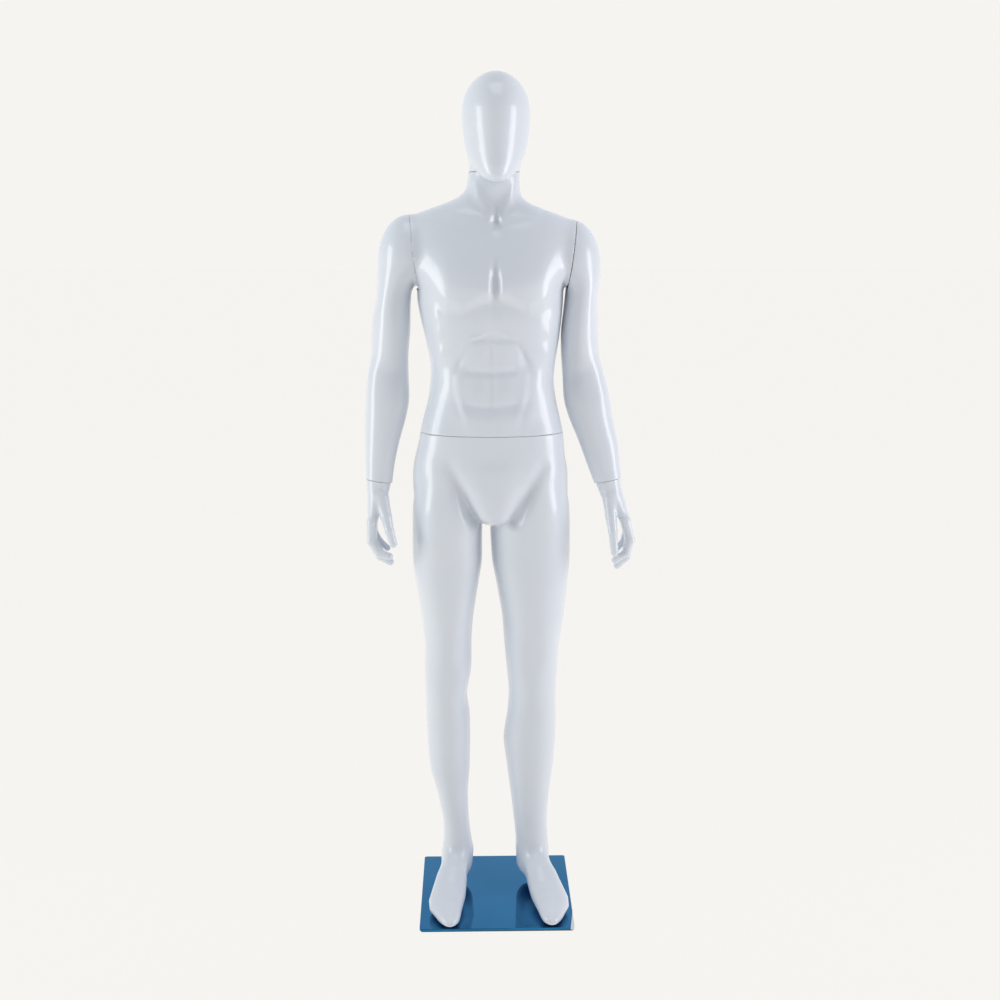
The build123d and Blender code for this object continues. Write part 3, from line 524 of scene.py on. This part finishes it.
def shoulder_field(p):
    """The torso and both arms as one surface, which the shoulder seams cut."""
    value = torso_field(p)
    for side in arms:
        arm = arms[side](p)
        near = np.abs(arm) < 40
        arm[near] -= arm_relief(p[near], side)
        arm = smooth_max(arm, ARMPIT_Z - p[:, 2], 10.0)
        value = smooth_min(value, arm, SHOULDER_FILLET)
    return value


def arm_field(side):
    """One arm, with what the torso adds to it beyond the shoulder seam."""
    def field(p):
        arm = arms[side](p)
        near = np.abs(arm) < 40
        arm[near] -= arm_relief(p[near], side)
        body = smooth_max(torso_field(p), ARMPIT_Z - p[:, 2], 10.0)
        return smooth_min(arm, body, SHOULDER_FILLET)
    return field


def head_field(p):
    """A smooth egg with a faint ridge down the face, and the top of the neck."""
    value = head(p)
    facing = fade(40 - p[:, 1], 20, 90)
    value = value - facing * bump(p, (2, 1735), (15, 62), 2.6)
    return smooth_min(value, neck_stub(p), 18.0)


def hand_field(side):
    """A palm with four curled fingers and a thumb."""
    palm = Form(PALMS[side], bottom=(900, 886), roundness=2.2, soften=7)
    chains = [Chain(joints) for joints in FINGERS[side]]

    def field(p):
        value = palm(p)
        fingers = None
        for chain in chains[:4]:
            finger = chain(p)
            fingers = finger if fingers is None else smooth_min(fingers, finger, 3.0)
        value = smooth_min(value, fingers, 14.0)
        return smooth_min(value, chains[4](p), 14.0)
    return field


# ---- from fields to meshes ----
def gradient(field, p, reach=0.4):
    parts = []
    for column in range(3):
        shift = np.zeros(3)
        shift[column] = reach
        parts.append((field(p + shift) - field(p - shift)) / (2 * reach))
    return np.stack(parts, 1)


def settle(field, p, steps, limit):
    """Moves points onto the field's surface."""
    for _ in range(steps):
        slope = gradient(field, p)
        length = np.maximum((slope**2).sum(1), 0.05)
        move = -(field(p) / length)[:, None] * slope
        size = np.linalg.norm(move, axis=1)
        move *= np.minimum(1, limit / np.maximum(size, 1e-9))[:, None]
        p = p + move
    return p


def evened(p, faces):
    """Each point moved halfway to the middle of its neighbours."""
    total = np.zeros_like(p)
    count = np.zeros(len(p))
    for corner in range(4):
        here = faces[:, corner]
        for there in (faces[:, (corner + 1) % 4], faces[:, corner - 1]):
            for column in range(3):
                total[:, column] += np.bincount(here, p[there, column], len(p))
            count += np.bincount(here, minlength=len(p))
    return 0.5 * p + 0.5 * total / np.maximum(count, 1)[:, None]


def net(field, low, high, step):
    """Points and four-sided faces round the surface of a field in a box."""
    axes = [np.arange(a, b + step, step) for a, b in zip(low, high)]
    shape = tuple(len(axis) for axis in axes)
    grid = np.stack(np.meshgrid(*axes, indexing="ij"), -1).reshape(-1, 3)
    inside = (field(grid) < 0).reshape(shape)
    corners = sum(
        inside[i:shape[0] - 1 + i, j:shape[1] - 1 + j, k:shape[2] - 1 + k].astype(int)
        for i in (0, 1) for j in (0, 1) for k in (0, 1)
    )
    mixed = (corners > 0) & (corners < 8)
    index = np.full(mixed.shape, -1)
    index[mixed] = np.arange(mixed.sum())
    points = np.array(low) + (np.argwhere(mixed) + 0.5) * step
    faces = []
    for axis in range(3):
        flags = np.moveaxis(inside, axis, 0)
        cells = np.moveaxis(index, axis, 0)
        before = flags[:-1, 1:-1, 1:-1]
        after = flags[1:, 1:-1, 1:-1]
        ring = np.stack([cells[:, :-1, :-1], cells[:, 1:, :-1], cells[:, 1:, 1:], cells[:, :-1, 1:]], -1)
        leaving, entering = ring[before & ~after], ring[~before & after]
        if axis == 1:
            leaving, entering = entering, leaving
        faces += [leaving, entering[:, ::-1]]
    return points, np.concatenate(faces)


def sculpt(name, field, low, high, step, rounds=3):
    """A mesh object of a field's surface, made in metres."""
    points, faces = net(field, low, high, step)
    points = settle(field, points, 3, step)
    for _ in range(rounds):
        points = settle(field, evened(points, faces), 2, step)
    mesh = bpy.data.meshes.new(name)
    mesh.from_pydata((points * MM).tolist(), [], faces.tolist())
    mesh.shade_smooth()
    piece = bpy.data.objects.new(name, mesh)
    bpy.context.scene.collection.objects.link(piece)
    return piece


def trim(piece, point, normal, above=None):
    """Cuts away what lies past a plane, given in millimetres. above limits the cut to that height."""
    mesh = bmesh.new()
    mesh.from_mesh(piece.data)
    if above is None:
        chosen = mesh.verts[:] + mesh.edges[:] + mesh.faces[:]
    else:
        level = Vector((0, 0, above * MM))
        everything = mesh.verts[:] + mesh.edges[:] + mesh.faces[:]
        bmesh.ops.bisect_plane(mesh, geom=everything, plane_co=level, plane_no=(0, 0, 1), dist=1e-6)
        faces = [f for f in mesh.faces if f.calc_center_median().z > level.z]
        edges = list({e for f in faces for e in f.edges})
        verts = list({v for f in faces for v in f.verts})
        chosen = verts + edges + faces
    bmesh.ops.bisect_plane(
        mesh, geom=chosen, dist=1e-6, plane_co=Vector(point) * MM, plane_no=Vector(normal), clear_outer=True
    )
    loose = [v for v in mesh.verts if not v.link_faces]
    bmesh.ops.delete(mesh, geom=loose, context="VERTS")
    mesh.to_mesh(piece.data)
    mesh.free()


def walled(piece):
    """Gives an open shell its wall, inwards."""
    wall = piece.modifiers.new("wall", "SOLIDIFY")
    wall.thickness = WALL * MM
    wall.offset = -1


def shoulder_cut(side, gap):
    """A point and the outward normal of a shoulder seam, moved out by gap."""
    x, tilt, _ = SHOULDER_SEAMS[side]
    sign = -1 if side == "right" else 1
    slope = math.radians(tilt)
    normal = Vector((sign * math.cos(slope), 0, -math.sin(slope)))
    return Vector((x, 42, STUD_Z)) + normal * gap, normal


# ---- materials ----
def new_material(name, colour, roughness, metallic=0.0):
    material = bpy.data.materials.new(name)
    material.use_nodes = True
    nodes = material.node_tree.nodes
    shader = nodes["Principled BSDF"]
    shader.inputs["Base Color"].default_value = (*colour, 1)
    shader.inputs["Roughness"].default_value = roughness
    shader.inputs["Metallic"].default_value = metallic
    return material, nodes, material.node_tree.links, shader


def noise(nodes, links, scale, detail=3.0, stretch=(1, 1, 1)):
    """Noise in the object's own coordinates."""
    place = nodes.new("ShaderNodeTexCoord")
    mapping = nodes.new("ShaderNodeMapping")
    mapping.inputs["Scale"].default_value = stretch
    texture = nodes.new("ShaderNodeTexNoise")
    texture.inputs["Scale"].default_value = scale
    texture.inputs["Detail"].default_value = detail
    links.new(place.outputs["Object"], mapping.inputs["Vector"])
    links.new(mapping.outputs["Vector"], texture.inputs["Vector"])
    return texture


def ramp(nodes, links, source, stops):
    blend = nodes.new("ShaderNodeValToRGB")
    while len(blend.color_ramp.elements) < len(stops):
        blend.color_ramp.elements.new(0.5)
    for element, (place, colour) in zip(blend.color_ramp.elements, stops):
        element.position = place
        element.color = (*colour, 1)
    links.new(source, blend.inputs["Fac"])
    return blend


def spread(nodes, links, source, low, high):
    """Maps 0-1 noise to low-high."""
    scaled = nodes.new("ShaderNodeMapRange")
    scaled.inputs["To Min"].default_value = low
    scaled.inputs["To Max"].default_value = high
    links.new(source, scaled.inputs["Value"])
    return scaled.outputs["Result"]


def roughen(nodes, links, shader, source, strength, distance):
    relief = nodes.new("ShaderNodeBump")
    relief.inputs["Strength"].default_value = strength
    relief.inputs["Distance"].default_value = distance
    links.new(source, relief.inputs["Height"])
    links.new(relief.outputs["Normal"], shader.inputs["Normal"])


def gloss_white():
    material, nodes, links, shader = new_material("gloss_white", (0.78, 0.81, 0.86), 0.3)
    shader.inputs["IOR"].default_value = 1.5
    shader.inputs["Coat Weight"].default_value = 0.4
    shader.inputs["Coat Roughness"].default_value = 0.09
    cloud = noise(nodes, links, 9.0, 4.0)
    tint = ramp(nodes, links, cloud.outputs["Fac"], [(0.3, (0.735, 0.78, 0.85)), (0.7, (0.76, 0.8, 0.865))])
    links.new(tint.outputs["Color"], shader.inputs["Base Color"])
    links.new(spread(nodes, links, cloud.outputs["Fac"], 0.27, 0.34), shader.inputs["Roughness"])
    peel = noise(nodes, links, 160.0, 2.0)
    roughen(nodes, links, shader, peel.outputs["Fac"], 0.03, 0.0004)
    return material


def plywood():
    material, nodes, links, shader = new_material("plywood", (0.6, 0.43, 0.25), 0.6)
    grain = noise(nodes, links, 26.0, 6.0, (1, 9, 9))
    tint = ramp(nodes, links, grain.outputs["Fac"], [(0.32, (0.42, 0.27, 0.14)), (0.66, (0.68, 0.5, 0.31))])
    links.new(tint.outputs["Color"], shader.inputs["Base Color"])
    roughen(nodes, links, shader, grain.outputs["Fac"], 0.25, 0.0004)
    return material


def cast_resin():
    material, nodes, links, shader = new_material("cast_resin", (0.5, 0.5, 0.48), 0.45)
    speck = noise(nodes, links, 190.0, 2.0)
    tint = ramp(nodes, links, speck.outputs["Fac"], [(0.35, (0.4, 0.4, 0.39)), (0.65, (0.56, 0.56, 0.54))])
    links.new(tint.outputs["Color"], shader.inputs["Base Color"])
    roughen(nodes, links, shader, speck.outputs["Fac"], 0.15, 0.0003)
    return material


def metal(name, colour, low, high, scale, stretch=(1, 1, 1)):
    material, nodes, links, shader = new_material(name, colour, low, 1.0)
    marks = noise(nodes, links, scale, 4.0, stretch)
    dark = tuple(0.82 * part for part in colour)
    tint = ramp(nodes, links, marks.outputs["Fac"], [(0.3, dark), (0.7, colour)])
    links.new(tint.outputs["Color"], shader.inputs["Base Color"])
    links.new(spread(nodes, links, marks.outputs["Fac"], low, high), shader.inputs["Roughness"])
    return material


def foam():
    material, nodes, links, shader = new_material("foam", (0.06, 0.06, 0.065), 0.9)
    cells = noise(nodes, links, 420.0, 2.0)
    tint = ramp(nodes, links, cells.outputs["Fac"], [(0.35, (0.03, 0.03, 0.033)), (0.65, (0.1, 0.1, 0.105))])
    links.new(tint.outputs["Color"], shader.inputs["Base Color"])
    roughen(nodes, links, shader, cells.outputs["Fac"], 0.5, 0.0006)
    return material


def blue_film():
    material, nodes, links, shader = new_material("blue_film", (0.02, 0.16, 0.33), 0.05, 1.0)
    wave = noise(nodes, links, 5.0, 2.0)
    tint = ramp(nodes, links, wave.outputs["Fac"], [(0.3, (0.009, 0.135, 0.3)), (0.7, (0.014, 0.16, 0.35))])
    links.new(tint.outputs["Color"], shader.inputs["Base Color"])
    roughen(nodes, links, shader, wave.outputs["Fac"], 0.12, 0.002)
    return material


MATERIALS = {
    "gloss_white": gloss_white(),
    "plywood": plywood(),
    "resin": cast_resin(),
    "brass": metal("brass", (0.78, 0.58, 0.28), 0.22, 0.38, 60.0),
    "foam": foam(),
    "blue_film": blue_film(),
    "polished_steel": metal("polished_steel", (0.72, 0.72, 0.73), 0.08, 0.16, 20.0),
    "steel": metal("zinc_steel", (0.66, 0.67, 0.68), 0.25, 0.42, 90.0),
}


def dress(piece, material_slot):
    piece.data.materials.clear()
    piece.data.materials.append(MATERIALS[material_slot])


# ---- the sculpted shells ----
BODY_STEP = 3.5
HAND_STEP = 1.4


def make_torso():
    piece = sculpt("torso_sculpt", shoulder_field, (-222, -110, 1090), (214, 170, 1690), BODY_STEP)
    trim(piece, (0, 0, WAIST_SEAM_Z + SEAM_HALF), (0, 0, -1))
    trim(piece, (0, 0, NECK_SEAM_Z - SEAM_HALF), (0, 0, 1))
    for side in SHOULDER_SEAMS:
        point, normal = shoulder_cut(side, 0.0)
        trim(piece, point, normal, above=ARMPIT_Z - 6)
    walled(piece)
    dress(piece, "gloss_white")
    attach(piece, "torso")
    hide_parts("torso_shell")


def make_lower_body():
    piece = sculpt("hips_and_legs_sculpt", lower_field, (-215, -205, 0), (215, 175, 1130), BODY_STEP)
    trim(piece, (0, 0, WAIST_SEAM_Z - SEAM_HALF), (0, 0, 1))
    walled(piece)
    dress(piece, "gloss_white")
    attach(piece, "lower_body")
    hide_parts("hips_and_legs_shell")


def make_arm(side):
    low_x, high_x = (-310, -140) if side == "right" else (130, 310)
    low, high = (low_x, -60, 960), (high_x, 150, 1600)
    piece = sculpt(side + "_arm_sculpt", arm_field(side), low, high, BODY_STEP)
    gap = SHOULDER_SEAMS[side][2]
    point, normal = shoulder_cut(side, gap)
    trim(piece, point, -normal)
    centre, direction = WRISTS[side]
    direction = Vector(direction).normalized()
    trim(piece, Vector(centre) - direction * SEAM_HALF, direction)
    walled(piece)
    dress(piece, "gloss_white")
    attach(piece, side + "_arm")
    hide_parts(side + "_arm_shell")


def make_hand(side):
    low_x, high_x = (-305, -205) if side == "right" else (215, 325)
    piece = sculpt(side + "_hand_sculpt", hand_field(side), (low_x, -60, 780), (high_x, 60, 1018), HAND_STEP)
    centre, direction = WRISTS[side]
    direction = Vector(direction).normalized()
    trim(piece, Vector(centre) + direction * SEAM_HALF, -direction)
    close(piece)
    dress(piece, "gloss_white")
    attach(piece, side + "_hand")
    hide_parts(side + "_hand")


def close(piece):
    """Fills the flat face that a trim left open."""
    mesh = bmesh.new()
    mesh.from_mesh(piece.data)
    rim = [edge for edge in mesh.edges if edge.is_boundary]
    filled = bmesh.ops.contextual_create(mesh, geom=rim)
    for face in filled["faces"]:
        face.smooth = False
    mesh.to_mesh(piece.data)
    mesh.free()


def make_head():
    piece = sculpt("head_sculpt", head_field, (-85, -75, 1636), (90, 150, 1890), BODY_STEP * 0.8)
    lowest, highest = (value[2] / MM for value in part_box("head_board"))
    cutters = [(NECK_CLEARANCE, 1600, NECK_SEAM_Z + SEAM_HALF), (53.5, 1600, highest + 0.3)]
    for radius, bottom, top in cutters:
        bpy.ops.mesh.primitive_cylinder_add(
            vertices=96, radius=radius * MM, depth=(top - bottom) * MM,
            location=(NECK_AXIS[0] * MM, NECK_AXIS[1] * MM, (top + bottom) / 2 * MM),
        )
        cutter = bpy.context.object
        cut = piece.modifiers.new("cut", "BOOLEAN")
        cut.object = cutter
        cut.operation = "DIFFERENCE"
        cut.solver = "EXACT"
        shape = bpy.data.meshes.new_from_object(piece.evaluated_get(bpy.context.evaluated_depsgraph_get()))
        piece.modifiers.clear()
        piece.data = shape
        bpy.data.objects.remove(cutter)
    dress(piece, "gloss_white")
    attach(piece, "head")
    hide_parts("head_shell")


BOARD_RIM = 4.0             # from the outer surface to a shoulder board's edge
BOARD_SPANS = {"shoulder_board": (-13.0, -4.0), "arm_board": (3.4, 12.4)}   # along the seam's normal


def make_shoulder_board(side, kind, body):
    """A wooden board just inside the shell, across one side of a shoulder seam."""
    point, normal = shoulder_cut(side, 0.0)
    point, normal = np.array(point), np.array(normal)
    up = np.cross(normal, (0, 1, 0))
    turns = np.linspace(0, 2 * math.pi, 72, endpoint=False)
    rays = np.outer(np.cos(turns), (0, 1, 0)) + np.outer(np.sin(turns), up)
    reach = np.arange(4, 130, 1.0)
    rings = []
    for along in BOARD_SPANS[kind]:
        centre = point + normal * along
        probes = centre + reach[:, None, None] * rays
        depth = shoulder_field(probes.reshape(-1, 3)).reshape(len(reach), len(turns))
        outside = (depth > -BOARD_RIM) | (probes[:, :, 2] < ARMPIT_Z + BOARD_RIM)
        first = np.argmax(outside, axis=0)
        rings.append(centre + reach[first][:, None] * rays)
    mesh = bmesh.new()
    loops = [[mesh.verts.new(Vector(spot) * MM) for spot in ring] for ring in rings]
    for ring in loops:
        mesh.faces.new(ring)
    count = len(turns)
    for here in range(count):
        there = (here + 1) % count
        mesh.faces.new((loops[0][here], loops[0][there], loops[1][there], loops[1][here]))
    bmesh.ops.recalc_face_normals(mesh, faces=mesh.faces)
    data = bpy.data.meshes.new(side + "_" + kind + "_sculpt")
    mesh.to_mesh(data)
    mesh.free()
    piece = bpy.data.objects.new(data.name, data)
    bpy.context.scene.collection.objects.link(piece)
    dress(piece, "plywood")
    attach(piece, body)
    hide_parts(side + "_" + kind)


# ---- the base's film ----
FILM_HALF = 175.15
FILM_CORNER = 6.0
FILM_RINGS = [(3.3, 0.0), (7.5, 0.0), (8.0, 0.15), (8.22, 0.6)]   # height, step in from the edge
FILM_THICKNESS = 0.12
PEEL = ((175.0, -103.0), (166.0, -175.0))      # where the film is lifted at the front left corner


def film_ring(height, inward):
    """One rounded square outline of the film."""
    radius = FILM_CORNER - inward
    middle = FILM_HALF - FILM_CORNER
    corners = ((1, 1), (-1, 1), (-1, -1), (1, -1))
    spots = []
    for quarter, (right, back) in enumerate(corners):
        for step in range(9):
            turn = math.radians(90 * quarter + 90 * step / 8)
            spot = (right * middle + radius * math.cos(turn), back * middle + radius * math.sin(turn), height)
            spots.append(Vector(spot) * MM)
    return spots


def make_film():
    """The blue film: over the plate's top and down its sides, with one corner peeled away."""
    mesh = bmesh.new()
    rings = [[mesh.verts.new(spot) for spot in film_ring(*ring)] for ring in FILM_RINGS]
    count = len(rings[0])
    for lower, upper in zip(rings, rings[1:]):
        for here in range(count):
            there = (here + 1) % count
            face = mesh.faces.new((lower[here], lower[there], upper[there], upper[here]))
            face.smooth = True
    mesh.faces.new(rings[-1])
    (near_x, near_y), (far_x, far_y) = PEEL
    outward = (near_y - far_y, far_x - near_x, 0)
    everything = [*mesh.verts, *mesh.edges, *mesh.faces]
    bmesh.ops.bisect_plane(mesh, geom=everything, plane_co=Vector((near_x, near_y, 0)) * MM,
                           plane_no=outward, clear_outer=True)
    bmesh.ops.recalc_face_normals(mesh, faces=mesh.faces)
    bmesh.ops.solidify(mesh, geom=mesh.faces[:], thickness=FILM_THICKNESS * MM)
    data = bpy.data.meshes.new("film_sheet")
    mesh.to_mesh(data)
    mesh.free()
    piece = bpy.data.objects.new("film_sheet", data)
    bpy.context.scene.collection.objects.link(piece)
    dress(piece, "blue_film")
    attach(piece, "base")
    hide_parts("base_film")


# ---- all the pieces ----
make_film()
make_lower_body()
make_torso()
make_head()
for side in ("right", "left"):
    make_arm(side)
    make_hand(side)
    make_shoulder_board(side, "shoulder_board", "torso")
    make_shoulder_board(side, "arm_board", side + "_arm")

SLOTS = {
    "base_underlay": "foam",
    "base_plate": "polished_steel",
    "base_film": "blue_film",
    "waist_board": "plywood",
    "torso_board": "plywood",
    "neck_board": "plywood",
    "head_board": "plywood",
    "neck_bush": "brass",
    "right_wrist_bush": "brass",
    "left_wrist_bush": "brass",
    "right_wrist_plug": "resin",
    "left_wrist_plug": "resin",
}
for name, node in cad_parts.items():
    for place in node.material_slots:
        place.material = MATERIALS[SLOTS.get(name, "steel")]


# ---- floor, light and camera ----
BACKDROP = (0.922, 0.905, 0.871)


def make_floor():
    """A pale floor that glows a little, so that it meets the pale surroundings without a line."""
    bpy.ops.mesh.primitive_plane_add(size=80, location=(0, 0, 0))
    floor = bpy.context.object
    floor.name = "floor"
    material, nodes, links, shader = new_material("pale_floor", (0.03, 0.03, 0.03), 1.0)
    shader.inputs["Specular IOR Level"].default_value = 0.0
    shader.inputs["Emission Color"].default_value = (*BACKDROP, 1)
    shader.inputs["Emission Strength"].default_value = 0.975
    floor.data.materials.append(material)


def soft_box(name, location, aim, width, height, power, colour=(1, 1, 1)):
    light = bpy.data.lights.new(name, "AREA")
    light.shape = "RECTANGLE"
    light.size = width
    light.size_y = height
    light.energy = power
    light.color = colour
    lamp = bpy.data.objects.new(name, light)
    lamp.location = location
    lamp.rotation_euler = (Vector(aim) - Vector(location)).to_track_quat("-Z", "Y").to_euler()
    bpy.context.scene.collection.objects.link(lamp)


def make_light():
    """Soft boxes at both sides and above, in a pale studio that is darker behind the camera."""
    soft_box("right_box", (-2.8, -0.8, 1.5), (0, 0, 1.2), 1.0, 2.0, 28, (0.97, 1.0, 0.98))
    soft_box("left_box", (2.8, -0.8, 1.5), (0, 0, 1.2), 1.0, 2.0, 31, (0.97, 0.95, 1.0))
    soft_box("top_box", (0, -0.6, 4.2), (0, 0, 0.9), 1.6, 1.6, 14)
    world = bpy.data.worlds.new("studio")
    bpy.context.scene.world = world
    world.use_nodes = True
    nodes, links = world.node_tree.nodes, world.node_tree.links
    place = nodes.new("ShaderNodeTexCoord")
    parts = nodes.new("ShaderNodeSeparateXYZ")
    depth = nodes.new("ShaderNodeMapRange")
    depth.inputs["From Min"].default_value = -1
    depth.inputs["To Min"].default_value = 0.2
    depth.inputs["To Max"].default_value = 0.95
    links.new(place.outputs["Generated"], parts.inputs["Vector"])
    links.new(parts.outputs["Y"], depth.inputs["Value"])
    room = nodes["Background"]
    room.inputs["Color"].default_value = (0.93, 0.96, 1.0, 1)
    links.new(depth.outputs["Result"], room.inputs["Strength"])
    backdrop = nodes.new("ShaderNodeBackground")
    backdrop.inputs["Color"].default_value = (*BACKDROP, 1)
    ray = nodes.new("ShaderNodeLightPath")
    choice = nodes.new("ShaderNodeMixShader")
    links.new(ray.outputs["Is Camera Ray"], choice.inputs["Fac"])
    links.new(room.outputs["Background"], choice.inputs[1])
    links.new(backdrop.outputs["Background"], choice.inputs[2])
    links.new(choice.outputs["Shader"], nodes["World Output"].inputs["Surface"])


def make_camera():
    camera = bpy.data.cameras.new("camera")
    camera.lens = 47.84
    camera.sensor_width = 36
    holder = bpy.data.objects.new("camera", camera)
    holder.location = (-0.050, -2.905, 1.572)
    holder.rotation_euler = (math.radians(90 - 11.93), 0, math.radians(-1.18))
    bpy.context.scene.collection.objects.link(holder)
    bpy.context.scene.camera = holder


make_floor()
make_light()
make_camera()
bpy.context.scene.view_settings.view_transform = "Standard"
